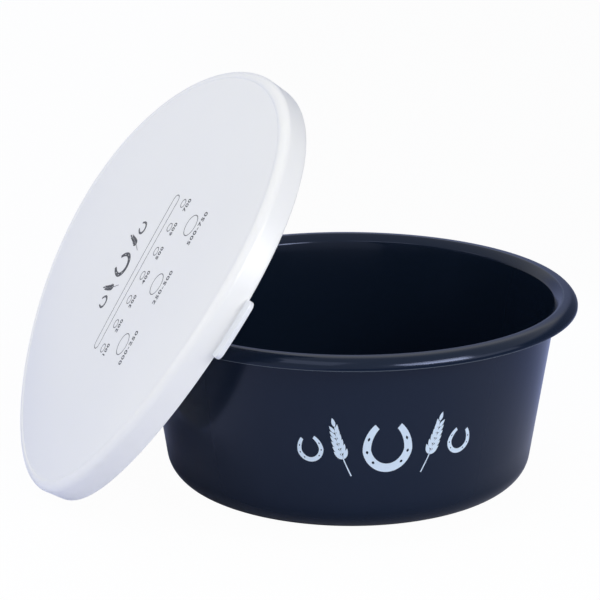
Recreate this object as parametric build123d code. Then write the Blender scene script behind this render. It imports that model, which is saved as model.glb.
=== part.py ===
from build123d import *
from math import cos, hypot, pi, radians, sin, tan
import os

# Horse feed bowl with its soft push-on lid leaned against it, in millimetres.
# The bowl stands on the floor plane z = 0 with its axis on Z, and the origin is the centre of
# its foot. The lid stands on its skirt on the floor and leans on the bowl's rim.

# Bowl
bowl_height = 132.7          # floor to the crown of the rim
rim_radius = 160.0           # outside of the rolled rim
rim_round = 6.7              # outer rounding of the rim
rim_flare = 7.0              # inner rounding, from the wall over to the crown
lip_depth = 8.2              # crown down to the rim's free edge
lip_edge_round = 0.9         # rounding of that free edge
wall = 2.5                   # moulded wall, also the rim's thickness
wall_top_radius = 145.3      # outside of the wall, level with the rim's free edge
draft = 8.5                  # lean of the wall, degrees from vertical
corner_radius = 19.0         # outside corner between the foot and the wall
inner_corner_radius = 15.0
foot_ring_width = 8.0        # outermost flat ring under the base
groove_width = 6.0           # groove inside that ring
groove_depth = 1.0
floor_thickness = 3.0

# Lid, as moulded
lid_clearance = 1.5          # between the rim and the inside of the skirt
lid_wall = 2.5
skirt_depth = 19.0           # top face to the skirt's free edge
skirt_flare = 1.2            # how far the skirt opens out at its free edge
shoulder_radius = 6.0        # rounding between the top face and the skirt
inner_shoulder_radius = 3.5
tab_length = 42.0            # lift tab, along the skirt's free edge
tab_reach = 10.0             # how far the tab stands out from the skirt
tab_thickness = 3.0
tab_corner = 4.0
tab_edge_round = 1.0

# Lid, as it leans: the soft moulding bows over the rim, and its panel sinks a little
lid_bow = 16.3               # rise of the crest over a chord of the lid's width
bow_turn = -15.7             # the bowed direction, degrees from straight up the slope
bow_crest = 29.8             # how far up the slope the crest of the bow lies from the middle
panel_sink = 5.0             # how far the middle of the panel lies below the bowed skirt
sink_margin = 9.0            # width of the band beside the skirt that doesn't sink
lid_tilt = 55.3              # slope of the lid, degrees from horizontal
lid_heading = 198.9          # compass direction that the top face looks, degrees from +X
lid_side = 30.6              # how far the lid's middle lies to the side of the bowl's middle
tab_angle = -84.3            # where the tab is, degrees from straight up the slope
rim_gap = 0.3                # clearance where the lid leans on the rim
floor_gap = 0.05             # clearance where the skirt stands on the floor

# Values that follow
lean = radians(draft)
rim_free_z = bowl_height - lip_depth
skirt_inside = rim_radius + lid_clearance
lid_radius = skirt_inside + lid_wall
bend_radius = (lid_radius ** 2 + lid_bow ** 2) / (2 * lid_bow)
sink_radius = lid_radius - sink_margin


def spot(centre, radius, angle):
    """Point on a circle in the bowl's profile, where the coordinates are radius and height."""
    turn = radians(angle)
    return (centre[0] + radius * cos(turn), centre[1] + radius * sin(turn))


def bend(centre, radius, start, end):
    """Arc of the profile about a centre, from one angle to another."""
    middle = (start + end) / 2
    ends = spot(centre, radius, start), spot(centre, radius, middle), spot(centre, radius, end)
    return ThreePointArc(*ends)


def outer_wall(height):
    """Radius of the outside of the bowl's wall at a height."""
    return wall_top_radius + (height - rim_free_z) * tan(lean)


def make_bowl():
    """One moulding: flat base with a groove, leaning wall and a rolled rim open below."""
    crown = (rim_radius - rim_round, bowl_height - rim_round)
    flare_z = bowl_height - rim_flare
    inner_wall = outer_wall(flare_z) - wall / cos(lean)
    flare = (inner_wall + rim_flare / cos(lean), flare_z)
    corner = (outer_wall(corner_radius) - corner_radius / cos(lean), corner_radius)
    inside_z = floor_thickness + inner_corner_radius
    inside_r = outer_wall(inside_z) - (wall + inner_corner_radius) / cos(lean)
    inside = (inside_r, inside_z)
    groove_outside = corner[0] - foot_ring_width
    groove_inside = groove_outside - groove_width
    outside_arc = bend(corner, corner_radius, -90, -draft)
    under_flare = bend(flare, rim_flare - wall, 180 - draft, 90)
    under_crown = bend(crown, rim_round - wall, 90, 0)
    over_crown = bend(crown, rim_round, 0, 90)
    over_flare = bend(flare, rim_flare, 90, 180 - draft)
    inside_arc = bend(inside, inner_corner_radius, -draft, -90)
    base = Polyline(
        (0, floor_thickness), (0, 0), (groove_inside, 0), (groove_inside, groove_depth),
        (groove_outside, groove_depth), (groove_outside, 0), outside_arc @ 0,
    )
    free_edge = Polyline(
        under_crown @ 1, (rim_radius - wall, rim_free_z), (rim_radius, rim_free_z), over_crown @ 0,
    )
    profile = [
        base,
        outside_arc,
        Line(outside_arc @ 1, under_flare @ 0),
        under_flare,
        Line(under_flare @ 1, under_crown @ 0),
        under_crown,
        free_edge,
        over_crown,
        Line(over_crown @ 1, over_flare @ 0),
        over_flare,
        Line(over_flare @ 1, inside_arc @ 0),
        inside_arc,
        Line(inside_arc @ 1, (0, floor_thickness)),
    ]
    section = Plane.XZ * make_face(profile)
    bowl = revolve(section, Axis.Z)
    at_free_edge = bowl.edges().filter_by(GeomType.CIRCLE).group_by(Axis.Z)
    lip_edges = [edge for group in at_free_edge for edge in group
                 if abs(edge.center().Z - rim_free_z) < 0.01]
    return fillet(lip_edges, min(lip_edge_round, wall * 0.4))


def bowed(x, y, depth):
    """Point of the bowed lid, in the lid's own frame.

    x runs up the slope and y across it from the lid's middle, and depth is how far the point
    lies below the top face, square to it. The frame's Z is the way the top face looks.
    """
    turn = radians(bow_turn)
    along = x * cos(turn) + y * sin(turn) - bow_crest
    across = y * cos(turn) - x * sin(turn)
    arc = along / bend_radius
    reach = (bend_radius - depth) * sin(arc) + bow_crest
    rise = (bend_radius - depth) * cos(arc) - bend_radius
    return Vector(reach * cos(turn) - across * sin(turn), reach * sin(turn) + across * cos(turn), rise)


def sunk(x, y):
    """How far the panel lies below the bowed skirt at a place on the lid."""
    share = min(1.0, hypot(x, y) / sink_radius)
    return panel_sink * (1 - share ** 2) ** 2


def sheet(depth, with_sink):
    """Face of the bowed lid at a depth below the top, wider than the lid itself."""
    half = lid_radius + 16
    steps = 18
    rows = []
    for i in range(steps + 1):
        x = half * (2 * i / steps - 1)
        row = []
        for j in range(steps + 1):
            y = half * (2 * j / steps - 1)
            drop = sunk(x, y) if with_sink else 0
            row.append(bowed(x, y, depth + drop))
        rows.append(row)
    return Face.make_surface_from_array_of_points(rows, tol=0.02, max_deg=3)


def level_ring(radius, level):
    """Closed outline of the skirt where it crosses a level plane of the lid's frame."""
    count = 32
    points = []
    for k in range(count):
        angle = 2 * pi * k / count
        depth = 0.0
        for _ in range(3):
            wide = radius + skirt_flare * depth / skirt_depth
            x = wide * cos(angle)
            y = wide * sin(angle)
            along = x * cos(radians(bow_turn)) + y * sin(radians(bow_turn)) - bow_crest
            depth = bend_radius - (level + bend_radius) / cos(along / bend_radius)
        points.append(bowed(x, y, depth))
    ring = Edge.make_spline(points, periodic=True)
    return Wire([ring.trim(0, 0.5), ring.trim(0.5, 1)])


def skirt_block(radius):
    """Solid inside the skirt's surface of a given radius, deeper and higher than the lid."""
    top = level_ring(radius, 14)
    bottom = level_ring(radius, -60)
    return Solid.make_loft([bottom, top], ruled=True)


def rim_clearance(centre, place):
    """Least distance between the rim and the lid's underside, for a place of the lid."""
    ring = rim_radius - rim_round
    least = 1e9
    for k in range(720):
        angle = pi * k / 360
        point = Vector(ring * cos(angle), ring * sin(angle), bowl_height - rim_round)
        local = place.to_local_coords(point - centre)
        turn = radians(bow_turn)
        along = local.X * cos(turn) + local.Y * sin(turn) - bow_crest
        above = hypot(along, local.Z + bend_radius) - bend_radius + sunk(local.X, local.Y)
        least = min(least, -lid_wall - above - rim_round)
    return least


def lean_lid():
    """Frame of the leaning lid: skirt on the floor, underside resting on the rim."""
    tilt = radians(lid_tilt)
    heading = radians(lid_heading)
    normal = Vector(sin(tilt) * cos(heading), sin(tilt) * sin(heading), cos(tilt))
    up_slope = Vector(-cos(tilt) * cos(heading), -cos(tilt) * sin(heading), sin(tilt))
    outward = Vector(cos(heading), sin(heading), 0)
    sideways = Vector(sin(heading), -cos(heading), 0)
    place = Plane(origin=(0, 0, 0), x_dir=up_slope, z_dir=normal)
    edge = lid_radius + skirt_flare
    lowest = 0.0
    for k in range(720):
        angle = pi * k / 360
        point = place.from_local_coords(bowed(edge * cos(angle), edge * sin(angle), skirt_depth))
        lowest = min(lowest, point.Z)
    height = floor_gap - lowest
    near = 0.0
    far = 4 * rim_radius
    for _ in range(40):
        middle = (near + far) / 2
        centre = outward * middle + sideways * lid_side + Vector(0, 0, height)
        if rim_clearance(centre, place) > rim_gap:
            far = middle
        else:
            near = middle
    centre = outward * far + sideways * lid_side + Vector(0, 0, height)
    return Plane(origin=centre, x_dir=up_slope, z_dir=normal)


def make_tab():
    """Lift tab that stands out from the skirt's free edge."""
    angle = radians(tab_angle)
    edge = lid_radius + skirt_flare
    root = bowed(edge * cos(angle), edge * sin(angle), skirt_depth)
    above = bowed(edge * cos(angle), edge * sin(angle), 0)
    outer = bowed((edge + 10) * cos(angle), (edge + 10) * sin(angle), skirt_depth)
    seat = Plane(origin=root, x_dir=outer - root, z_dir=above - root)
    inset = lid_wall * 0.8
    plate = Box(tab_reach + inset, tab_length, tab_thickness, align=(Align.MIN, Align.CENTER, Align.MIN))
    plate = Pos(-inset, 0, 0) * plate
    outer_corners = plate.edges().filter_by(Axis.Z).group_by(Axis.X)[-1]
    plate = fillet(outer_corners, tab_corner)
    rims = plate.faces().sort_by(Axis.X)[-1].edges().filter_by(Axis.Y)
    plate = fillet(rims, tab_edge_round)
    return seat.location * plate


def bounded_block(radius, top_depth, rounding):
    """Solid between two depths of the bowed lid, inside a skirt radius, with its top rounded."""
    reach = 90
    block = skirt_block(radius)
    block = block - Solid.extrude(sheet(top_depth, True), Vector(0, 0, reach))
    block = block - Solid.extrude(sheet(skirt_depth, False), Vector(0, 0, -reach))
    return block.fillet(rounding, covers(block)[-1].edges())


def covers(block):
    """The two wide faces of a lid block, the one over its open side first."""
    wide = [face for face in block.faces() if len(face.edges()) == 2]
    return sorted(wide, key=lambda face: face.center().Z)


def without_base(block):
    """Faces of a lid block without the one over its open side, and that face's edges."""
    base = covers(block)[0]
    kept = [face for face in block.faces() if not face.is_same(base)]
    return kept, sorted(base.edges(), key=lambda edge: edge.center().Y)


def make_lid():
    """One soft moulding: bowed panel, rounded shoulder, skirt and lift tab."""
    outer_faces, outer_edges = without_base(bounded_block(lid_radius, 0, shoulder_radius))
    inner_faces, inner_edges = without_base(
        bounded_block(skirt_inside, lid_wall, inner_shoulder_radius))
    free_edge = [
        Face.make_surface_from_curves(outer, inner)
        for outer, inner in zip(outer_edges, inner_edges)
    ]
    shell = Solid(Shell(outer_faces + inner_faces + free_edge))
    return lean_lid().location * (shell + make_tab())


os.makedirs("parts", exist_ok=True)
export_step(make_bowl(), "parts/bowl.step")
export_step(make_lid(), "parts/lid.step")
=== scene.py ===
"""A round feed bowl with its soft lid leaned on the rim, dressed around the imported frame."""
from math import cos, exp, pi, radians, sin, tan

import bmesh
import bpy
from bpy.props import FloatProperty, FloatVectorProperty, IntProperty, PointerProperty
from bpy.types import Operator, Panel, PropertyGroup
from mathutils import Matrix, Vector


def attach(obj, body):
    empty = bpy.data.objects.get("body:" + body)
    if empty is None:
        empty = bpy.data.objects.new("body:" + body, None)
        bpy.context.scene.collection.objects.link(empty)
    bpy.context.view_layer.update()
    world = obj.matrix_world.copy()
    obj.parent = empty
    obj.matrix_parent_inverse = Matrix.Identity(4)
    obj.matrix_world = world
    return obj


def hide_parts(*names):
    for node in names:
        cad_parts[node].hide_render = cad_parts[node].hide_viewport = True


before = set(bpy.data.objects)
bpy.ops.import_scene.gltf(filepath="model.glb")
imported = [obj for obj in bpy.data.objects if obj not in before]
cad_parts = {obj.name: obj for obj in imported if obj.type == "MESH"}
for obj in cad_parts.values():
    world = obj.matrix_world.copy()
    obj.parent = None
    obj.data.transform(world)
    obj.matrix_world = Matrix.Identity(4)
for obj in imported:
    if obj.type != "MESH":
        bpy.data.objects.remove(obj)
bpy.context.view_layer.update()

bl_info = {
    "name": "Feed bowl with leaning lid",
    "version": (1, 0, 0),
    "blender": (4, 5, 0),
    "location": "3D View > Sidebar > Feed bowl",
    "description": "Builds a moulded feed bowl, its bowed lid and their printing",
    "category": "Add Mesh",
}

# Sizes and colours that a user would change


def number(name, description, default, **more):
    """A plain number."""
    return FloatProperty(name=name, description=description, default=default, **more)


def metres(name, description, default, **more):
    """A length in metres."""
    return number(name, description, default, unit="LENGTH", **more)


def degrees(name, description, default):
    """An angle, given in degrees."""
    return number(name, description, radians(default), subtype="ANGLE")


def spot(name, description, default):
    """A place in the scene, in metres."""
    return FloatVectorProperty(
        name=name, description=description, default=default, subtype="TRANSLATION", unit="LENGTH")


def tone(name, description, default):
    """A colour in linear light."""
    return FloatVectorProperty(
        name=name, description=description, default=default, subtype="COLOR", min=0, max=1)


class BowlSizes(PropertyGroup):
    """Profile of the bowl, measured from its foot."""

    height: metres("Height", "Floor to the crown of the rim", 0.1327)
    rim_radius: metres("Rim radius", "Outside of the rolled rim", 0.15995)
    rim_round: metres("Rim rounding", "Outer rounding of the rim", 0.0067)
    rim_flare: metres("Rim flare", "Inner rounding from the wall over to the crown", 0.007)
    lip_depth: metres("Lip depth", "Crown of the rim down to its free edge", 0.0082)
    wall: metres("Wall", "Thickness of the moulding", 0.0025)
    wall_top_radius: metres(
        "Wall radius", "Outside of the wall level with the rim's free edge", 0.1453)
    draft: degrees("Draft", "Lean of the wall from vertical", 8.5)
    corner_radius: metres("Foot corner", "Outside corner between the foot and the wall", 0.019)
    inner_corner_radius: metres("Inside corner", "Inside corner between the floor and the wall", 0.015)
    foot_ring_width: metres("Foot ring", "Width of the outermost flat ring under the base", 0.008)
    groove_width: metres("Foot groove", "Width of the groove inside the foot ring", 0.006)
    groove_depth: metres("Groove depth", "Depth of the groove under the base", 0.001)
    floor_thickness: metres("Floor", "Thickness of the bowl's floor", 0.003)
    segments: IntProperty(
        name="Segments", description="Steps round the bowl", default=288, min=48)
    colour: tone("Bowl colour", "Colour of the bowl's plastic", (0.0055, 0.0106, 0.0222))


class LidSizes(PropertyGroup):
    """Lid as moulded, and the way it bows and leans."""

    radius: metres("Radius", "Outside of the skirt at the shoulder", 0.164)
    wall: metres("Wall", "Thickness of the moulding", 0.0025)
    skirt_depth: metres("Skirt depth", "Top face to the skirt's free edge", 0.019)
    skirt_flare: metres("Skirt flare", "How far the skirt opens out at its free edge", 0.0012)
    shoulder: metres("Shoulder", "Rounding between the top face and the skirt", 0.006)
    inner_shoulder: metres("Inner shoulder", "Rounding inside the shoulder", 0.0035)
    bend_radius: metres("Bend radius", "Radius that the soft lid bows to", 0.83318)
    bow_turn: degrees("Bow direction", "Bowed direction, from straight up the slope", -15.7)
    bow_crest: metres("Bow crest", "How far up the slope the crest of the bow lies", 0.0298)
    panel_sink: metres("Panel sink", "How far the middle of the panel sinks", 0.005)
    panel_step: metres(
        "Panel step", "Small step down from the shoulder to the panel", 0.00045, precision=5)
    panel_radius: metres("Panel radius", "Radius where the panel's step begins", 0.156)
    sink_radius: metres("Sink radius", "Edge of the part of the panel that sinks", 0.155)
    tilt: degrees("Tilt", "Slope of the lid from horizontal", 55.3)
    heading: degrees("Heading", "Compass direction that the top face looks", 198.9)
    middle: spot("Middle", "Middle of the lid as it leans", (-0.154149, -0.020433, 0.153934))
    tab_angle: degrees("Tab angle", "Where the lift tab is, from straight up the slope", -84.3)
    tab_length: metres("Tab length", "Lift tab along the skirt's edge", 0.042)
    tab_reach: metres("Tab reach", "How far the tab stands out from the skirt", 0.010)
    tab_thickness: metres("Tab thickness", "Thickness of the lift tab", 0.003)
    segments: IntProperty(
        name="Segments", description="Steps round the lid", default=288, min=48)
    colour: tone("Lid colour", "Colour of the lid's plastic", (0.815, 0.82, 0.825))


class PrintSizes(PropertyGroup):
    """Printing on the lid's panel and on the bowl's wall."""

    film: metres("Ink film", "Thickness of the printed ink", 0.00006, precision=6)
    line: metres("Line width", "Width of the fine printed lines", 0.0006, precision=5)
    turn: degrees("Print turn", "Turn of the lid's print from straight up the slope", 5.4)
    frieze_angle: degrees("Frieze angle", "Where the bowl's print is, round from the front", 9.9)
    frieze_height: metres("Frieze height", "Height of the middle of the bowl's print", 0.064)
    lid_ink: tone("Lid ink", "Colour of the print on the lid", (0.035, 0.038, 0.047))
    bowl_ink: tone("Bowl ink", "Colour of the print on the bowl", (0.62, 0.74, 0.86))


class StageSettings(PropertyGroup):
    """Camera, floor and lights."""

    camera_place: spot("Camera", "Where the camera stands", (-0.03443, -1.69629, 0.63527))
    camera_drop: degrees("Camera drop", "How far the camera looks down", 16.75)
    lens: number("Lens", "Focal length in millimetres on a 36 mm frame", 151.27)
    key_power: number("Key light", "Power of the soft box at the front right", 13.0)
    strip_power: number("Strip light", "Power of the strip that only draws highlights", 36.0)
    high_power: number("High light", "Power of the high soft box at the front left", 4.8)
    left_power: number("Left light", "Power of the soft box on the left", 7.2)
    low_power: number("Low light", "Power of the low soft box at the front right", 5.5)
    sky: number("Sky", "Strength of the plain surroundings", 0.82)
    sky_colour: tone("Sky colour", "Colour of the plain surroundings", (0.98, 0.99, 1.0))
    floor_colour: tone("Floor colour", "Colour of the floor card", (0.77, 0.79, 0.92))
    shade_colour: tone(
        "Shade", "Colour that dims the floor and surroundings behind the bowl", (0.40, 0.46, 0.75))
    floor_white: number(
        "Floor white", "How far the floor shows white to the camera", 0.975, min=0, max=1)


# Node trees written as Python expressions


class Value:
    """A number inside a node tree. Sums on it add Math nodes."""

    def __init__(self, sheet, socket):
        self.sheet = sheet
        self.socket = socket

    def maths(self, operation, *others):
        """Result of one Math node on this value and others."""
        return self.sheet.maths(operation, self, *others)

    def __add__(self, other):
        return self.maths("ADD", other)

    def __sub__(self, other):
        return self.maths("SUBTRACT", other)

    def __rsub__(self, other):
        return self.sheet.maths("SUBTRACT", other, self)

    def __mul__(self, other):
        return self.maths("MULTIPLY", other)

    def __truediv__(self, other):
        return self.maths("DIVIDE", other)

    def __pow__(self, other):
        return self.maths("POWER", other)

    __radd__ = __add__
    __rmul__ = __mul__

    def sine(self):
        """Sine of this value."""
        return self.maths("SINE")

    def cosine(self):
        """Cosine of this value."""
        return self.maths("COSINE")

    def smooth(self, low, high):
        """0 below low and 1 above high, with a smooth step between."""
        step = self.sheet.node("ShaderNodeMapRange", {
            "Value": self, "From Min": low, "From Max": high}, interpolation_type="SMOOTHSTEP")
        return self.sheet.value(step.outputs[0])


class Sheet:
    """A node tree that nodes are added to."""

    def __init__(self, tree):
        self.tree = tree

    def node(self, kind, inputs=None, **settings):
        """Add a node: its settings first, then the values or links of its sockets."""
        made = self.tree.nodes.new(kind)
        for name, setting in settings.items():
            setattr(made, name, setting)
        for name, given in (inputs or {}).items():
            socket = made.inputs[name]
            if isinstance(given, Value):
                given = given.socket
            if isinstance(given, bpy.types.NodeSocket):
                self.tree.links.new(given, socket)
            else:
                socket.default_value = given
        return made

    def end(self, kind, result):
        """End the tree with an output node."""
        self.node(kind, {0: result})

    def value(self, socket):
        """Wrap a socket, so that sums can be written on it."""
        return Value(self, socket)

    def maths(self, operation, *items):
        """Result of one Math node on values or numbers."""
        node = self.node("ShaderNodeMath", dict(enumerate(items)), operation=operation)
        return self.value(node.outputs[0])

    def parts(self, place):
        """X, Y and Z of a place, as values."""
        apart = self.node("ShaderNodeSeparateXYZ", {0: place})
        return [self.value(socket) for socket in apart.outputs]

    def noise(self, place, scale, detail=2.0, roughness=0.5):
        """Smooth noise from 0 to 1 on a place."""
        inputs = {"Vector": place, "Scale": scale, "Detail": detail, "Roughness": roughness}
        return self.value(self.node("ShaderNodeTexNoise", inputs).outputs["Fac"])

    def stretched(self, place, scale):
        """A place scaled differently along each direction."""
        return self.node("ShaderNodeMapping", {"Vector": place, "Scale": scale}).outputs[0]

    def mix(self, factor, first, second):
        """A colour between two colours."""
        inputs = {"Factor": factor, 6: first, 7: second}
        return self.node("ShaderNodeMix", inputs, data_type="RGBA").outputs[2]


def new_material(name):
    """An empty material with its sheet and the object's own coordinates."""
    material = bpy.data.materials.new(name)
    material.use_nodes = True
    material.node_tree.nodes.clear()
    sheet = Sheet(material.node_tree)
    return material, sheet, sheet.node("ShaderNodeTexCoord").outputs["Object"]


def darker(colour, share):
    """A colour with its brightness scaled, as four numbers."""
    return tuple(min(1.0, part * share) for part in colour) + (1.0,)


def finish_skin(sheet, relief, strength, depth, inputs):
    """End a material with a Principled skin over a fine relief of some depth in metres."""
    bump = sheet.node("ShaderNodeBump", {
        "Strength": strength, "Distance": depth, "Height": relief})
    skin = sheet.node("ShaderNodeBsdfPrincipled", {**inputs, "Normal": bump.outputs[0]})
    sheet.end("ShaderNodeOutputMaterial", skin.outputs[0])


def bowl_plastic(colour, lip_level, mouth_radius):
    """Deep navy glossy plastic: flow clouds, orange peel, scuffs, and painted highlights as paler thin
    lines on the lip's free edge and the rim's inner edge.
    """
    material, sheet, place = new_material("bowl_plastic")
    clouds = sheet.noise(place, 9.0, 3.0, 0.55)
    flow = sheet.noise(sheet.stretched(place, (26, 26, 5)), 1.0, 3.0, 0.6)
    peel = sheet.noise(place, 420.0)
    swell = sheet.noise(place, 26.0, 1.0)
    scuff_lines = sheet.noise(sheet.stretched(place, (60, 60, 2600)), 1.0, 4.0, 0.65)
    scuff_patches = sheet.noise(place, 17.0).smooth(0.52, 0.72)
    scuffs = scuff_lines.smooth(0.62, 0.78) * scuff_patches
    x, y, height = sheet.parts(place)
    foot_wear = 1 - height.smooth(0.0, 0.006)
    radius = (x * x + y * y).maths("SQRT")
    from_lip = (height - lip_level).maths("ABSOLUTE")
    from_mouth = (radius - mouth_radius).maths("ABSOLUTE")
    rim_side = radius.smooth(0.1570, 0.1590)
    rim_top = height.smooth(0.128, 0.130)
    # Painted highlights: a thin paler line along the lip's free edge, and a fainter one along the
    # rim's crisp inner edge.
    lip_highlight = (1 - from_lip.smooth(0.0002, 0.00045)) * rim_side
    mouth_highlight = (1 - from_mouth.smooth(0.0002, 0.0005)) * rim_top
    painted_edge_highlight = (0.085, 0.105, 0.125, 1.0)
    tint = sheet.mix(clouds * 0.7 + flow * 0.3, darker(colour, 0.86), darker(colour, 1.16))
    worn = sheet.mix(scuffs * 0.25 + foot_wear * 0.35, tint, darker(colour, 2.4))
    finish_skin(sheet, peel * 0.12 + swell * 0.9 + scuffs * 0.2, 0.10, 0.0003, {
        "Base Color": sheet.mix(lip_highlight + mouth_highlight * 0.3, worn, painted_edge_highlight),
        "Roughness": 0.11 + clouds * 0.05 + scuffs * 0.16 + foot_wear * 0.25,
        "IOR": 1.36, "Specular Tint": (0.60, 0.68, 1.0, 1.0)})
    return material


def lid_plastic(colour):
    """Soft pale plastic, slightly waxy: faint mottling and a fine satin grain."""
    material, sheet, place = new_material("lid_plastic")
    mottle = sheet.noise(place, 14.0, 3.0, 0.55)
    haze = sheet.noise(place, 3.2)
    grain = sheet.noise(place, 900.0, 2.0, 0.6)
    dimple = sheet.noise(place, 60.0)
    finish_skin(sheet, grain * 0.25 + dimple * 0.6, 0.12, 0.0003, {
        "Base Color": sheet.mix(
            mottle * 0.5 + haze * 0.5, darker(colour, 0.975), darker(colour, 1.02)),
        "Roughness": 0.30 + mottle * 0.06 + grain * 0.05, "IOR": 1.48,
        "Subsurface Weight": 0.12, "Subsurface Radius": (0.004, 0.004, 0.005),
        "Subsurface Scale": 1.0})
    return material


def ink(name, colour, speckle):
    """Screen-printed ink: slightly uneven coverage and a satin surface."""
    material, sheet, place = new_material(name)
    cover = sheet.noise(place, 700.0, 3.0, 0.6)
    drift = sheet.noise(place, 45.0)
    finish_skin(sheet, cover, 0.15, 0.00005, {
        "Base Color": sheet.mix(
            cover * speckle + drift * 0.3, darker(colour, 0.90), darker(colour, 1.07)),
        "Roughness": 0.34 + cover * 0.12})
    return material


# Shaping trees


def new_shaping_tree(name, **kinds):
    """An empty Geometry Nodes tree and its inputs: geometry, material and named sizes."""
    tree = bpy.data.node_groups.new(name, "GeometryNodeTree")
    tree.interface.new_socket("Geometry", in_out="OUTPUT", socket_type="NodeSocketGeometry")
    for label, kind in {"Geometry": "Geometry", "Material": "Material", **kinds}.items():
        tree.interface.new_socket(label, in_out="INPUT", socket_type="NodeSocket" + kind)
    sheet = Sheet(tree)
    given = sheet.node("NodeGroupInput").outputs
    return sheet, {socket.name: sheet.value(socket) for socket in given if socket.name}


def moved_points(sheet, geometry, place):
    """A geometry with its points moved to a place."""
    inputs = {"Geometry": geometry, "Position": place}
    return sheet.node("GeometryNodeSetPosition", inputs).outputs[0]


def finish_shaping(sheet, given, geometry):
    """End a tree with real geometry and the given material."""
    real = sheet.node("GeometryNodeRealizeInstances", {0: geometry})
    dressed = sheet.node("GeometryNodeSetMaterial", {
        "Geometry": real.outputs[0], "Material": given["Material"]})
    sheet.end("NodeGroupOutput", dressed.outputs[0])
    return sheet.tree


def turned_tree():
    """Turns a profile about Z. The profile's points run in order, with radius in X."""
    sheet, given = new_shaping_tree("turned_profile", points="Int", segments="Int")
    segments = given["segments"]
    grid = sheet.node("GeometryNodeMeshGrid", {
        "Vertices X": given["points"], "Vertices Y": segments})
    index = sheet.value(sheet.node("GeometryNodeInputIndex").outputs[0])
    along = (index / segments).maths("FLOOR")
    around = index - along * segments
    turn = around * (2 * pi) / (segments - 1)
    point = sheet.node("GeometryNodeInputPosition").outputs[0]
    sampled = sheet.node("GeometryNodeSampleIndex", {
        "Geometry": given["Geometry"], "Value": point, "Index": along},
        data_type="FLOAT_VECTOR")
    radius, _, level = sheet.parts(sampled.outputs[0])
    place = sheet.node("ShaderNodeCombineXYZ", {
        "X": radius * turn.cosine(), "Y": radius * turn.sine(), "Z": level})
    moved = moved_points(sheet, grid.outputs["Mesh"], place.outputs[0])
    closed = sheet.node("GeometryNodeMergeByDistance", {"Geometry": moved, "Distance": 1e-7})
    smooth = sheet.node("GeometryNodeSetShadeSmooth", {0: closed.outputs[0]})
    return finish_shaping(sheet, given, smooth.outputs[0])


def lean_tree():
    """Bows a flat lid piece, sinks its panel and leans it on the bowl."""
    sheet, given = new_shaping_tree(
        "bowed_and_leaned", bend_radius="Float", bow_turn="Float", bow_crest="Float",
        panel_sink="Float", sink_radius="Float", up_slope="Vector", across="Vector",
        facing="Vector", middle="Vector")
    x, y, z = sheet.parts(sheet.node("GeometryNodeInputPosition").outputs[0])
    bend = given["bend_radius"]
    crest = given["bow_crest"]
    ahead = given["bow_turn"].cosine()
    aside = given["bow_turn"].sine()
    share = ((x * x + y * y).maths("SQRT") / given["sink_radius"]).maths("MINIMUM", 1.0)
    drop = given["panel_sink"] * (1 - share * share) ** 2.0
    reach = bend + z - drop
    arc = (x * ahead + y * aside - crest) / bend
    across = y * ahead - x * aside
    along = reach * arc.sine() + crest
    rise = reach * arc.cosine() - bend
    legs = {
        "up_slope": along * ahead - across * aside,
        "across": along * aside + across * ahead, "facing": rise,
    }
    place = given["middle"]
    for direction, length in legs.items():
        leg = sheet.node("ShaderNodeVectorMath", {
            0: given[direction], "Scale": length}, operation="SCALE")
        place = sheet.node("ShaderNodeVectorMath", {
            0: place, 1: leg.outputs[0]}, operation="ADD").outputs[0]
    return finish_shaping(sheet, given, moved_points(sheet, given["Geometry"], place))


def wrap_tree():
    """Wraps a flat print round the leaning wall. X runs round the bowl and Y up the wall."""
    sheet, given = new_shaping_tree(
        "wrapped_on_wall", radius="Float", draft="Float", height="Float", angle="Float")
    x, y, z = sheet.parts(sheet.node("GeometryNodeInputPosition").outputs[0])
    lean = given["draft"]
    turn = given["angle"] + x / given["radius"]
    radius = given["radius"] + y * lean.sine() + z * lean.cosine()
    level = given["height"] + y * lean.cosine() - z * lean.sine()
    place = sheet.node("ShaderNodeCombineXYZ", {
        "X": radius * turn.sine(), "Y": 0 - radius * turn.cosine(), "Z": level})
    moved = moved_points(sheet, given["Geometry"], place.outputs[0])
    return finish_shaping(sheet, given, moved)


def shape_by(maker, name, piece, material, **sizes):
    """Shape a piece by a tree, made once and used again, and keep the result as a plain mesh."""
    tree = bpy.data.node_groups.get(name) or maker()
    idents = {item.name: item.identifier for item in tree.interface.items_tree
              if item.in_out == "INPUT"}
    modifier = piece.modifiers.new(name, "NODES")
    modifier.node_group = tree
    for label, size in {"Material": material, **sizes}.items():
        modifier[idents[label]] = size
    settle(piece)


def settle(piece):
    """Turn a piece and its modifiers into a plain mesh of its own."""
    bpy.context.view_layer.update()
    shown = piece.evaluated_get(bpy.context.evaluated_depsgraph_get())
    mesh = bpy.data.meshes.new_from_object(shown)
    mesh.name = piece.name
    piece.modifiers.clear()
    piece.data = mesh


# Meshes


def new_piece(name, verts, edges, faces):
    """A mesh object in the scene, at the origin."""
    mesh = bpy.data.meshes.new(name)
    mesh.from_pydata(verts, edges, faces)
    mesh.update()
    piece = bpy.data.objects.new(name, mesh)
    bpy.context.scene.collection.objects.link(piece)
    return piece


def face_out(mesh):
    """Merge doubled points and turn the faces of a closed mesh outwards."""
    shape = bmesh.new()
    shape.from_mesh(mesh)
    bmesh.ops.remove_doubles(shape, verts=shape.verts, dist=1e-7)
    bmesh.ops.recalc_face_normals(shape, faces=shape.faces)
    shape.to_mesh(mesh)
    shape.free()


def arc_points(centre, radius, start, end, steps):
    """Points on an arc of a profile, from one angle in degrees to another."""
    angles = [radians(start + (end - start) * k / steps) for k in range(steps + 1)]
    return [
        (centre[0] + radius * cos(angle), centre[1] + radius * sin(angle)) for angle in angles]


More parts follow.
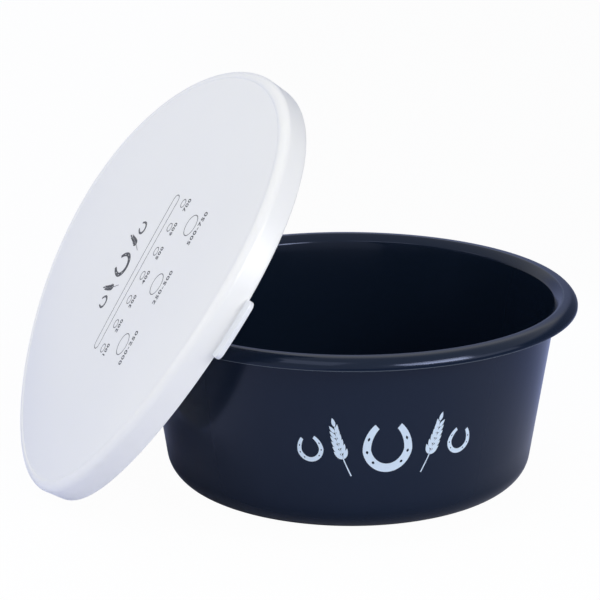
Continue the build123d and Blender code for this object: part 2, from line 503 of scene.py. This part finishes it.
def run_points(start, end, longest):
    """Points on a straight run of a profile, no farther apart than a length."""
    length = max(1e-9, ((end[0] - start[0]) ** 2 + (end[1] - start[1]) ** 2) ** 0.5)
    steps = max(1, round(length / longest + 0.5))
    return [
        (start[0] + (end[0] - start[0]) * k / steps, start[1] + (end[1] - start[1]) * k / steps)
        for k in range(steps + 1)
    ]


def join_profile(*pieces):
    """One list of profile points from several, without doubled points."""
    points = []
    for piece in pieces:
        for point in piece:
            if not points or abs(point[0] - points[-1][0]) + abs(point[1] - points[-1][1]) > 1e-8:
                points.append(point)
    return points


def rounded_corner(before, corner, after, radius, steps=4):
    """Points of a small rounding between two straight runs of a profile."""
    corner = Vector(corner)
    back = (Vector(before) - corner).normalized()
    onward = (Vector(after) - corner).normalized()
    reach = radius / tan(back.angle(onward) / 2)
    start = corner + back * reach
    end = corner + onward * reach
    points = []
    for k in range(steps + 1):
        share = k / steps
        points.append(tuple(start.lerp(corner, share).lerp(corner.lerp(end, share), share)))
    return points


def bent_run(start, end, first, last, bend, steps=60):
    """Points of a profile that turns from one normal to another, in degrees.

    Bend gives how long the profile stays near each normal. The run is scaled to its two places.
    """
    turn = radians(last - first) / steps
    points = [(0.0, 0.0)]
    for k in range(steps):
        normal = radians(first) + (k + 0.5) * turn
        x, z = points[-1]
        reach = bend(normal * 180 / pi) * turn
        points.append((x - reach * sin(normal), z + reach * cos(normal)))
    wide = (end[0] - start[0]) / points[-1][0]
    tall = (end[1] - start[1]) / points[-1][1]
    return [(start[0] + x * wide, start[1] + z * tall) for x, z in points[::2]]


def bell(normal, middle, spread):
    """A weight that is 1 at one normal and fades away on both sides, in degrees."""
    return exp(-(((normal - middle) / spread) ** 2))


def rim_face(size, inner):
    """Outside of the rim from its side up to its crown: a flatter face and a broad crown."""

    def bend(normal):
        face = 2.6 * bell(normal, 24, 11)
        crown = 2.2 * bell(normal, 90, 13)
        side = 1.0 * bell(normal, 3, 8)
        return 0.5 + face + crown + side

    side_place = (size.rim_radius, size.height - size.rim_round)
    return bent_run(side_place, (inner, size.height), 0, 90, bend)


def mouth_face(size, inner, wall_place):
    """From the crown over a crisp inner edge and down to the wall inside."""

    def bend(normal):
        return 0.12 + 1.5 * bell(normal, 131, 9) + 0.25 * bell(normal, 168, 12)

    wall_normal = 180 - size.draft * 180 / pi
    return bent_run((inner, size.height), wall_place, 90, wall_normal, bend)


def mouth_radius(size):
    """Radius of the crisp inner edge of the rim."""
    inset = 0.0002
    wall = size.wall_top_radius + (size.lip_depth - size.rim_flare) * tan(size.draft)
    return wall + (size.rim_flare - size.wall) / cos(size.draft) - inset


def bowl_profile(size):
    """Closed profile of the bowl from the axis underneath, over the rim, to the axis inside."""
    lean = size.draft
    lean_degrees = lean * 180 / pi
    rim_free_z = size.height - size.lip_depth

    def wall_radius(level):
        return size.wall_top_radius + (level - rim_free_z) * tan(lean)

    crown = (size.rim_radius - size.rim_round, size.height - size.rim_round)
    flare_z = size.height - size.rim_flare
    flare = (wall_radius(flare_z) - size.wall / cos(lean) + size.rim_flare / cos(lean), flare_z)
    wall_place = (
        flare[0] - size.rim_flare * cos(lean), flare_z + size.rim_flare * sin(lean))
    foot = size.corner_radius
    corner = (wall_radius(foot) - foot / cos(lean), foot)
    inside_z = size.floor_thickness + size.inner_corner_radius
    inside_lean = (size.wall + size.inner_corner_radius) / cos(lean)
    inside = (wall_radius(inside_z) - inside_lean, inside_z)
    groove_out = corner[0] - size.foot_ring_width
    groove_in = groove_out - size.groove_width
    groove = size.groove_depth
    under = [
        (0, 0), (groove_in, 0), (groove_in, groove), (groove_out, groove), (groove_out, 0),
        (corner[0], 0),
    ]
    groove_edge = 0.0004
    lip_edge = 0.0006
    floor_facet = 0.012
    wall_facet = 0.006
    rim_facet = 0.004
    under_flare = arc_points(flare, size.rim_flare - size.wall, 180 - lean_degrees, 90, 12)
    under_crown = arc_points(crown, size.rim_round - size.wall, 90, 0, 12)
    over_crown = rim_face(size, mouth_radius(size))
    over_flare = mouth_face(size, mouth_radius(size), wall_place)
    foot_arc = arc_points(corner, foot, -90, -lean_degrees, 22)
    inside_arc = arc_points(inside, size.inner_corner_radius, -lean_degrees, -90, 18)
    lip_in = (size.rim_radius - size.wall, rim_free_z)
    lip_out = (size.rim_radius, rim_free_z)
    return join_profile(
        run_points(under[0], (groove_in - groove_edge, 0), floor_facet),
        *(rounded_corner(*under[k:k + 3], groove_edge) for k in range(4)),
        foot_arc,
        run_points(foot_arc[-1], under_flare[0], wall_facet),
        under_flare,
        run_points(under_flare[-1], under_crown[0], rim_facet),
        under_crown,
        rounded_corner(under_crown[-1], lip_in, lip_out, lip_edge),
        rounded_corner(lip_in, lip_out, over_crown[0], lip_edge),
        over_crown,
        over_flare,
        run_points(over_flare[-1], inside_arc[0], wall_facet),
        inside_arc,
        run_points(inside_arc[-1], (0, size.floor_thickness), floor_facet),
    )


def lid_profile(size):
    """Closed profile of the flat lid from the middle of its top to the middle underneath."""
    slope = size.skirt_flare / size.skirt_depth
    free_z = -size.skirt_depth
    lip_out = (size.radius + size.skirt_flare, free_z)
    lip_in = (lip_out[0] - size.wall, free_z)
    inner_top = size.radius - size.wall + slope * size.wall
    step_width = 0.00085
    step_start = 0.0004
    lip_edge = 0.0008
    lip_height = 0.002
    panel_facet = 0.004
    skirt_facet = 0.003
    panel_end = (size.panel_radius - step_start, -size.panel_step)
    panel_edge = []
    for k in range(9):
        wave = cos(pi * k / 8) / 2
        panel_edge.append((
            size.panel_radius + step_width * (0.5 - wave), -size.panel_step * (0.5 + wave)))
    shoulder_middle = (size.radius - size.shoulder, -size.shoulder)
    shoulder = arc_points(shoulder_middle, size.shoulder, 90, 3, 18)
    inner_middle = (inner_top - size.inner_shoulder, -size.wall - size.inner_shoulder)
    inner = arc_points(inner_middle, size.inner_shoulder, 3, 90, 12)
    above_out = (lip_out[0] - slope * lip_height, free_z + lip_height)
    above_in = (lip_in[0] - slope * lip_height, free_z + lip_height)
    return join_profile(
        run_points((0, -size.panel_step), panel_end, panel_facet),
        panel_edge,
        shoulder,
        run_points(shoulder[-1], above_out, skirt_facet),
        rounded_corner(shoulder[-1], lip_out, lip_in, lip_edge),
        rounded_corner(lip_out, lip_in, inner[0], lip_edge * 0.6),
        run_points(above_in, inner[0], skirt_facet),
        inner,
        run_points(inner[-1], (0, -size.wall), panel_facet),
    )


def turned_piece(name, profile, segments, material):
    """A piece turned from a profile."""
    verts = [(radius, 0, level) for radius, level in profile]
    edges = [(k, k + 1) for k in range(len(verts) - 1)]
    piece = new_piece(name, verts, edges, [])
    shape_by(
        turned_tree, "turned_profile", piece, material, points=len(verts), segments=segments + 1)
    face_out(piece.data)
    return piece


def lean_on_bowl(piece, size, material):
    """Bow a flat lid piece and lean it on the bowl."""
    facing = Vector((
        sin(size.tilt) * cos(size.heading), sin(size.tilt) * sin(size.heading), cos(size.tilt)))
    slope = Vector((
        -cos(size.tilt) * cos(size.heading), -cos(size.tilt) * sin(size.heading), sin(size.tilt)))
    shape_by(
        lean_tree, "bowed_and_leaned", piece, material, bend_radius=size.bend_radius,
        bow_turn=size.bow_turn, bow_crest=size.bow_crest, panel_sink=size.panel_sink,
        sink_radius=size.sink_radius, up_slope=slope, across=facing.cross(slope),
        facing=facing, middle=Vector(size.middle))


def tab_verts(size, columns, stations):
    """Points of the lift tab: a plain underside, and a top with a crease and a shallow dish."""
    edge = size.radius + size.skirt_flare
    half = size.tab_length / 2
    sunk = size.wall * 0.7
    corner = 0.005
    crease_place = 0.0006
    crease_width = 0.0009
    dish_place = 0.0040
    dish_width = 0.0026
    verts = []
    for rise, crease, dish in ((0.0, 0.0, 0.0), (size.tab_thickness, 0.0013, 0.0007)):
        for i in range(columns + 1):
            along = half * sin(pi / 2 * (2 * i / columns - 1))
            beyond = max(0.0, abs(along) - (half - corner))
            cut = corner - max(0.0, corner ** 2 - beyond ** 2) ** 0.5
            angle = size.tab_angle + along / edge
            for out in (-sunk, *((size.tab_reach - cut) * share for share in stations)):
                level = rise - size.skirt_depth
                level -= crease * exp(-(((out - crease_place) / crease_width) ** 2))
                level -= dish * exp(-(((out - dish_place) / dish_width) ** 4))
                verts.append(((edge + out) * cos(angle), (edge + out) * sin(angle), level))
    return verts


def slab_faces(columns, rows):
    """Faces of a closed slab: two layers of squares and the band that joins their edges."""
    across = rows + 1
    layer = (columns + 1) * across
    faces = []
    for i in range(columns):
        for j in range(rows):
            a = i * across + j
            b = a + across
            faces.append((a, a + 1, b + 1, b))
            faces.append((layer + a, layer + b, layer + b + 1, layer + a + 1))
    around = [i * across for i in range(columns + 1)]
    around += [columns * across + j for j in range(1, rows + 1)]
    around += [i * across + rows for i in range(columns - 1, -1, -1)]
    around += [j for j in range(rows - 1, 0, -1)]
    for a, b in zip(around, around[1:] + around[:1]):
        faces.append((a, b, layer + b, layer + a))
    return faces


# Print shapes, drawn flat in metres


class Drawing:
    """Flat shapes of a print, collected as faces."""

    def __init__(self):
        self.verts = []
        self.faces = []

    def strip(self, left, right, closed=False):
        """Faces between two runs of points."""
        base = len(self.verts)
        count = len(left)
        self.verts += list(left) + list(right)
        last = count if closed else count - 1
        for k in range(last):
            n = (k + 1) % count
            self.faces.append((base + k, base + count + k, base + count + n, base + n))

    def add(self, other, scale=1.0, turn=0.0, shift=(0.0, 0.0), mirrored=False):
        """Another drawing's faces, scaled, turned and shifted."""
        base = len(self.verts)
        flip = -1 if mirrored else 1
        for x, y in other.verts:
            x = x * flip * scale
            y = y * scale
            self.verts.append((
                x * cos(turn) - y * sin(turn) + shift[0],
                x * sin(turn) + y * cos(turn) + shift[1]))
        for face in other.faces:
            order = reversed(face) if mirrored else face
            self.faces.append(tuple(base + k for k in order))


def ring_drawing(centre, radius, width, steps):
    """A thin printed circle."""
    drawing = Drawing()
    angles = [2 * pi * k / steps for k in range(steps)]
    drawing.strip(*(
        [(centre[0] + r * cos(angle), centre[1] + r * sin(angle)) for angle in angles]
        for r in (radius - width / 2, radius + width / 2)
    ), closed=True)
    return drawing


def pill_drawing(start, end, level, half_height, width):
    """A long thin outline with round ends."""
    runs = 40
    turns = 12
    outlines = []
    for r in (half_height - width / 2, half_height + width / 2):
        points = []
        for first, last, turn in ((start, end, -pi / 2), (end, start, pi / 2)):
            side = level + r * sin(turn)
            points += [(first + (last - first) * k / runs, side) for k in range(runs + 1)]
            for k in range(1, turns):
                angle = turn + pi * k / turns
                points.append((last + r * cos(angle), level + r * sin(angle)))
        outlines.append(points)
    drawing = Drawing()
    drawing.strip(*outlines, closed=True)
    return drawing


def horseshoe_drawing():
    """A horseshoe about one unit high, open end up, with its nail holes left bare."""
    steps = 176
    nails = (0.125, 0.238, 0.351, 0.649, 0.762, 0.875)
    nail_length = 0.15
    nail_share = 0.0135
    first_turn = -232
    whole_turn = 284
    half_width = 0.40
    half_height = 0.46
    inner, middle_in, middle_out, outer = [], [], [], []
    for k in range(steps + 1):
        share = k / steps
        nearest = min(abs(share - nail) for nail in nails)
        gap = nail_length * max(0.0, 1 - (nearest / nail_share) ** 2) ** 0.5
        angle = radians(first_turn + whole_turn * share)
        side = abs(2 * share - 1)
        width = 0.175 - 0.055 * side ** 2
        squeeze = 1 - 0.16 * max(0.0, side - 0.55) / 0.45
        centre_x = half_width * cos(angle) * squeeze
        centre_y = half_height * sin(angle) * (1.0 if sin(angle) < 0 else 1.12)
        out = Vector((cos(angle), sin(angle)))
        for points, offset in (
            (inner, -0.5), (middle_in, -gap), (middle_out, gap), (outer, 0.5),
        ):
            points.append((centre_x + out.x * offset * width, centre_y + out.y * offset * width))
    drawing = Drawing()
    drawing.strip(inner, middle_in)
    drawing.strip(middle_out, outer)
    return drawing


def slim_drawing(steps, sway, half, along):
    """A slim shape up Y. Its middle, half width and height follow a share from 0 to 1."""
    shares = [k / steps for k in range(steps + 1)]
    drawing = Drawing()
    drawing.strip(
        [(sway(share) - half(share), along(share)) for share in shares],
        [(sway(share) + half(share), along(share)) for share in shares])
    return drawing


def grain_drawing(length, width):
    """One pointed oat grain, its foot at the origin, along Y."""

    def half(share):
        if 0 < share < 1:
            return width / 2 * sin(pi * share ** 0.8) ** 0.9
        return 0.0004 * length

    return slim_drawing(12, lambda share: 0.0, half, lambda share: length * share)


def sprig_drawing():
    """An ear of oats about one unit high, with a slim curved stem."""

    def sway(share):
        return 0.05 * sin(pi * share * 0.9)

    drawing = slim_drawing(
        24, sway, lambda share: 0.011 * (1 - 0.45 * share), lambda share: -0.5 + share)
    grain = grain_drawing(0.21, 0.075)
    grain_foot = 0.016
    for k in range(6):
        share = 0.36 + 0.105 * k
        lean = radians(30 - 2.2 * k)
        for side in (1, -1):
            foot = (sway(share) + side * grain_foot, -0.5 + share)
            drawing.add(grain, 1.0 - 0.045 * k, -side * lean, foot)
    drawing.add(grain, 0.85, radians(2), (sway(1.0), 0.5))
    return drawing


def emblem_drawing():
    """A horseshoe between two leaning ears of oats with a small shoe beyond each."""
    drawing = Drawing()
    shoe = horseshoe_drawing()
    sprig = sprig_drawing()
    drawing.add(shoe, 0.80, 0, (0, 0.02))
    for side in (1, -1):
        drawing.add(sprig, 0.86, -side * radians(16), (side * 0.66, -0.06), side < 0)
        drawing.add(shoe, 0.42, -side * radians(10), (side * 1.16, -0.02))
    return drawing


def text_drawing(words, height):
    """Plain numerals as flat faces, centred on the origin."""
    numeral_height = 0.69
    curve = bpy.data.curves.new("numerals", "FONT")
    curve.body = words
    curve.size = height / numeral_height
    curve.resolution_u = 4
    curve.align_x = "CENTER"
    curve.align_y = "CENTER"
    curve.space_character = 1.16
    curve.offset = 0.00014
    lettering = bpy.data.objects.new("numerals", curve)
    bpy.context.scene.collection.objects.link(lettering)
    bpy.context.view_layer.update()
    shown = lettering.evaluated_get(bpy.context.evaluated_depsgraph_get())
    mesh = bpy.data.meshes.new_from_object(shown)
    drawing = Drawing()
    drawing.verts = [(vert.co.x, vert.co.y) for vert in mesh.vertices]
    drawing.faces = [tuple(face.vertices) for face in mesh.polygons]
    bpy.data.objects.remove(lettering)
    bpy.data.meshes.remove(mesh)
    bpy.data.curves.remove(curve)
    return drawing


def scale_drawing(line):
    """A long outline over seven small circles and three large ones, each with its numerals."""
    drawing = Drawing()
    drawing.add(pill_drawing(
        start=-0.0553, end=0.0577, level=-0.0032, half_height=0.0041, width=line))
    small = [(-0.056 + 0.019 * k, str(100 * (k + 1))) for k in range(7)]
    large = [(-0.0458, "000-250"), (0.0007, "250-500"), (0.0467, "500-750")]
    for circles, level, radius, steps, words_level, words_height in (
        (small, -0.0183, 0.0031, 40, -0.0262, 0.0042),
        (large, -0.0515, 0.0079, 56, -0.0655, 0.0047),
    ):
        for x, words in circles:
            drawing.add(ring_drawing((x, level), radius, line, steps))
            drawing.add(text_drawing(words, words_height), shift=(x, words_level))
    return drawing


def film_piece(name, drawing, film, level=0.0):
    """A print as a thin closed film, half of it sunk below a level."""
    flat = bpy.data.meshes.new(name)
    flat.from_pydata([(x, y, 0) for x, y in drawing.verts], [], drawing.faces)
    shape = bmesh.new()
    shape.from_mesh(flat)
    bpy.data.meshes.remove(flat)
    bmesh.ops.remove_doubles(shape, verts=shape.verts, dist=1e-6)
    shape.verts.index_update()
    count = len(shape.verts)
    verts = [(*vert.co.xy, level + side * film) for side in (1, -1) for vert in shape.verts]
    faces = []
    for face in shape.faces:
        top = [vert.index for vert in face.verts]
        faces += [top, [count + index for index in reversed(top)]]
        for edge in face.edges:
            if edge.is_boundary:
                a, b = (vert.index for vert in edge.verts)
                faces.append((a, count + a, count + b, b))
    shape.free()
    piece = new_piece(name, verts, [], faces)
    face_out(piece.data)
    return piece


def print_on_lid(context, name, drawing, material):
    """A drawing printed on the lid's panel, turned with the print."""
    size = context.scene.feedbowl_print
    lid = context.scene.feedbowl_lid
    turned = Drawing()
    turned.add(drawing, turn=size.turn)
    piece = film_piece(name, turned, size.film, -lid.panel_step)
    lean_on_bowl(piece, lid, material)
    return piece


# Operators, one for each piece


class FEEDBOWL_OT_bowl(Operator):
    """Turn the bowl from its profile"""

    bl_idname = "feedbowl.bowl"
    bl_label = "Bowl"

    def execute(self, context):
        size = context.scene.feedbowl_bowl
        lip_level = size.height - size.lip_depth + 0.0002
        material = bowl_plastic(tuple(size.colour), lip_level, mouth_radius(size))
        piece = turned_piece("bowl_shell", bowl_profile(size), size.segments, material)
        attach(piece, "bowl_body")
        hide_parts("bowl")
        return {"FINISHED"}


class FEEDBOWL_OT_lid(Operator):
    """Turn the lid flat, then bow it and lean it on the bowl"""

    bl_idname = "feedbowl.lid"
    bl_label = "Lid"

    def execute(self, context):
        size = context.scene.feedbowl_lid
        material = lid_plastic(tuple(size.colour))
        piece = turned_piece("lid_shell", lid_profile(size), size.segments, material)
        lean_on_bowl(piece, size, material)
        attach(piece, "lid_body")
        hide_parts("lid")
        return {"FINISHED"}


class FEEDBOWL_OT_tab(Operator):
    """Build the lift tab on the skirt's free edge"""

    bl_idname = "feedbowl.tab"
    bl_label = "Lift tab"

    def execute(self, context):
        size = context.scene.feedbowl_lid
        columns = 36
        stations = (0, 0.02, 0.05, 0.08, 0.11, 0.15, 0.2, 0.28, 0.4, 0.52, 0.6, 0.68, 0.76, 0.86, 1)
        verts = tab_verts(size, columns, stations)
        piece = new_piece("lid_tab", verts, [], slab_faces(columns, len(stations)))
        face_out(piece.data)
        bevel = piece.modifiers.new("soft_edges", "BEVEL")
        bevel.width = 0.0011
        bevel.segments = 4
        bevel.limit_method = "ANGLE"
        bevel.angle_limit = radians(50)
        settle(piece)
        material = bpy.data.materials["lid_plastic"]
        lean_on_bowl(piece, size, material)
        piece.data.shade_smooth()
        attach(piece, "lid_body")
        return {"FINISHED"}


class FEEDBOWL_OT_scale_print(Operator):
    """Print the numbered scale and its circles on the lid"""

    bl_idname = "feedbowl.scale_print"
    bl_label = "Lid scale print"

    def execute(self, context):
        size = context.scene.feedbowl_print
        material = ink("lid_ink", tuple(size.lid_ink), 0.7)
        piece = print_on_lid(context, "lid_scale_print", scale_drawing(size.line), material)
        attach(piece, "lid_body")
        return {"FINISHED"}


class FEEDBOWL_OT_lid_emblem(Operator):
    """Print the horseshoe and oats design on the lid"""

    bl_idname = "feedbowl.lid_emblem"
    bl_label = "Lid design print"

    def execute(self, context):
        drawing = Drawing()
        drawing.add(emblem_drawing(), scale=0.0255, shift=(0.0005, 0.0267))
        material = bpy.data.materials["lid_ink"]
        piece = print_on_lid(context, "lid_emblem_print", drawing, material)
        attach(piece, "lid_body")
        return {"FINISHED"}


class FEEDBOWL_OT_bowl_print(Operator):
    """Print the pale horseshoe and oats design on the bowl's wall"""

    bl_idname = "feedbowl.bowl_print"
    bl_label = "Bowl design print"

    def execute(self, context):
        size = context.scene.feedbowl_print
        bowl = context.scene.feedbowl_bowl
        drawing = Drawing()
        drawing.add(emblem_drawing(), scale=0.0445)
        piece = film_piece("bowl_emblem_print", drawing, size.film)
        material = ink("bowl_ink", tuple(size.bowl_ink), 0.6)
        level = size.frieze_height
        radius = bowl.wall_top_radius + (level - bowl.height + bowl.lip_depth) * tan(bowl.draft)
        shape_by(
            wrap_tree, "wrapped_on_wall", piece, material, radius=radius, draft=bowl.draft,
            height=level, angle=size.frieze_angle)
        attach(piece, "bowl_body")
        return {"FINISHED"}


class FEEDBOWL_OT_stage(Operator):
    """Set up the floor, the surroundings, the lights and the camera"""

    bl_idname = "feedbowl.stage"
    bl_label = "Stage"

    def execute(self, context):
        settings = context.scene.feedbowl_stage
        shade = tuple(settings.shade_colour)
        self.floor(tuple(settings.floor_colour), shade, settings.floor_white)
        self.sky(context.scene, tuple(settings.sky_colour), shade, settings.sky)
        # Heading and rise in degrees, then width and height in metres
        for name, heading, rise, width, height in (
            ("key", -43, 26, 0.90, 0.60), ("strip", -46, 33, 1.30, 0.80),
            ("high", -120, 54, 1.20, 0.90), ("left", -168, 35, 1.3, 1.0),
            ("low", -22, 14, 1.6, 0.9),
        ):
            power = getattr(settings, name + "_power")
            holder = self.lamp(name + "_light", heading, rise, width, height, power)
            holder.visible_diffuse = name != "strip"
        camera = bpy.data.cameras.new("camera")
        camera.lens = settings.lens
        camera.sensor_width = 36
        eye = bpy.data.objects.new("camera", camera)
        eye.location = settings.camera_place
        eye.rotation_euler = (pi / 2 - settings.camera_drop, 0, 0)
        context.scene.collection.objects.link(eye)
        context.scene.camera = eye
        context.scene.view_settings.view_transform = "Standard"
        return {"FINISHED"}

    def floor(self, colour, shade, white_share):
        """A large pale floor that shows white around a soft shadow, over a card painted with shade."""
        reach = 6.0
        corners = [(-reach, -reach, 0), (reach, -reach, 0), (reach, reach, 0), (-reach, reach, 0)]
        floor = new_piece("floor", corners, [], [(0, 1, 2, 3)])
        material, sheet, place = new_material("floor_card")
        paper = sheet.noise(place, 30.0)
        x, y, _ = sheet.parts(place)
        side = x.maths("ABSOLUTE")
        round_foot = x * x + y * y
        # Painted shade on the card: darker behind and to the sides of the bowl, darker still far out
        # except on the left, and a painted contact shadow under and round the foot.
        away = (side * 0.6 + y * 0.9 + paper * 0.02).smooth(-0.03, 0.28)
        near = sheet.mix(away, darker(colour, 1.0), darker(shade, 1.0))
        far = round_foot.smooth(0.17, 0.30) * (x + 0.25).smooth(0.0, 0.2)
        painted_contact_shadow = 0.4 * (1 - round_foot.smooth(0.0185, 0.0270))
        tint = sheet.mix(far.maths("MAXIMUM", painted_contact_shadow), near, darker(shade, 0.35))
        card = sheet.node("ShaderNodeBsdfDiffuse", {"Color": tint})
        white = sheet.node("ShaderNodeEmission", {"Color": (1, 1, 1, 1), "Strength": 1.0})
        path = sheet.node("ShaderNodeLightPath")
        seen = sheet.value(path.outputs["Is Camera Ray"]) * white_share
        both = sheet.node("ShaderNodeMixShader", {0: seen, 1: card.outputs[0], 2: white.outputs[0]})
        sheet.end("ShaderNodeOutputMaterial", both.outputs[0])
        floor.data.materials.append(material)

    def sky(self, scene, colour, shade, strength):
        """Plain surroundings, dimmer low at the back right, and white to the camera."""
        world = bpy.data.worlds.new("surroundings")
        scene.world = world
        world.use_nodes = True
        world.node_tree.nodes.clear()
        sheet = Sheet(world.node_tree)
        seen = sheet.value(sheet.node("ShaderNodeLightPath").outputs["Is Camera Ray"])
        x, y, z = sheet.parts(sheet.node("ShaderNodeTexCoord").outputs["Generated"])
        low = 1 - z.smooth(0.3, 0.5)
        behind = (x * 0.57 + y * 0.82).smooth(0.1, 0.6) * low
        gap = (x * 0.87 + y * 0.5).smooth(0.5, 0.85) * low
        dim = sheet.mix(behind, darker(colour, 1.0), darker(shade, 1.0))
        lit = sheet.mix(gap, dim, darker(shade, 0.3))
        plain = sheet.node("ShaderNodeBackground", {
            "Color": sheet.mix(seen, lit, (1.0, 1.0, 1.0, 1.0)),
            "Strength": strength + seen * (1.0 - strength)})
        sheet.end("ShaderNodeOutputWorld", plain.outputs[0])

    def lamp(self, name, heading, rise, width, height, power):
        """A soft box that looks at the object from a heading and a rise in degrees."""
        away = 2.3
        aim_level = 0.10
        reach = away * cos(radians(rise))
        place = (
            reach * cos(radians(heading)), reach * sin(radians(heading)),
            aim_level + away * sin(radians(rise)))
        light = bpy.data.lights.new(name, "AREA")
        light.shape = "RECTANGLE"
        light.size = width
        light.size_y = height
        light.energy = power
        holder = bpy.data.objects.new(name, light)
        holder.location = place
        aim = Vector((-0.04, 0, aim_level)) - Vector(place)
        holder.rotation_euler = aim.to_track_quat("-Z", "Y").to_euler()
        bpy.context.scene.collection.objects.link(holder)
        return holder


class FEEDBOWL_PT_panel(Panel):
    """Sidebar panel that lists the bowl's pieces and their sizes"""

    bl_idname = "FEEDBOWL_PT_panel"
    bl_label = "Feed bowl"
    bl_space_type = "VIEW_3D"
    bl_region_type = "UI"
    bl_category = "Feed bowl"

    def draw(self, context):
        for operator in PIECES:
            self.layout.operator(operator.bl_idname)
        for label, attribute in SIZE_GROUPS:
            box = self.layout.box()
            box.label(text=label)
            group = getattr(context.scene, attribute)
            for name in group.bl_rna.properties.keys():
                if name not in ("rna_type", "name"):
                    box.prop(group, name)


PIECES = (
    FEEDBOWL_OT_bowl, FEEDBOWL_OT_lid, FEEDBOWL_OT_tab, FEEDBOWL_OT_scale_print,
    FEEDBOWL_OT_lid_emblem, FEEDBOWL_OT_bowl_print, FEEDBOWL_OT_stage,
)
SIZE_GROUPS = (
    ("Bowl", "feedbowl_bowl"), ("Lid", "feedbowl_lid"),
    ("Printing", "feedbowl_print"), ("Stage", "feedbowl_stage"),
)
GROUP_TYPES = (BowlSizes, LidSizes, PrintSizes, StageSettings)
CLASSES = GROUP_TYPES + PIECES + (FEEDBOWL_PT_panel,)


def register():
    """Register the classes and hang the size groups on the scene."""
    for item in CLASSES:
        bpy.utils.register_class(item)
    for (label, attribute), kind in zip(SIZE_GROUPS, GROUP_TYPES):
        setattr(bpy.types.Scene, attribute, PointerProperty(type=kind, name=label))


def unregister():
    """Take the size groups off the scene and unregister the classes."""
    for _, attribute in SIZE_GROUPS:
        delattr(bpy.types.Scene, attribute)
    for item in reversed(CLASSES):
        bpy.utils.unregister_class(item)


def main():
    """Build every piece in order."""
    register()
    bpy.ops.feedbowl.bowl()
    bpy.ops.feedbowl.lid()
    bpy.ops.feedbowl.tab()
    bpy.ops.feedbowl.scale_print()
    bpy.ops.feedbowl.lid_emblem()
    bpy.ops.feedbowl.bowl_print()
    bpy.ops.feedbowl.stage()


if __name__ == "__main__":
    main()
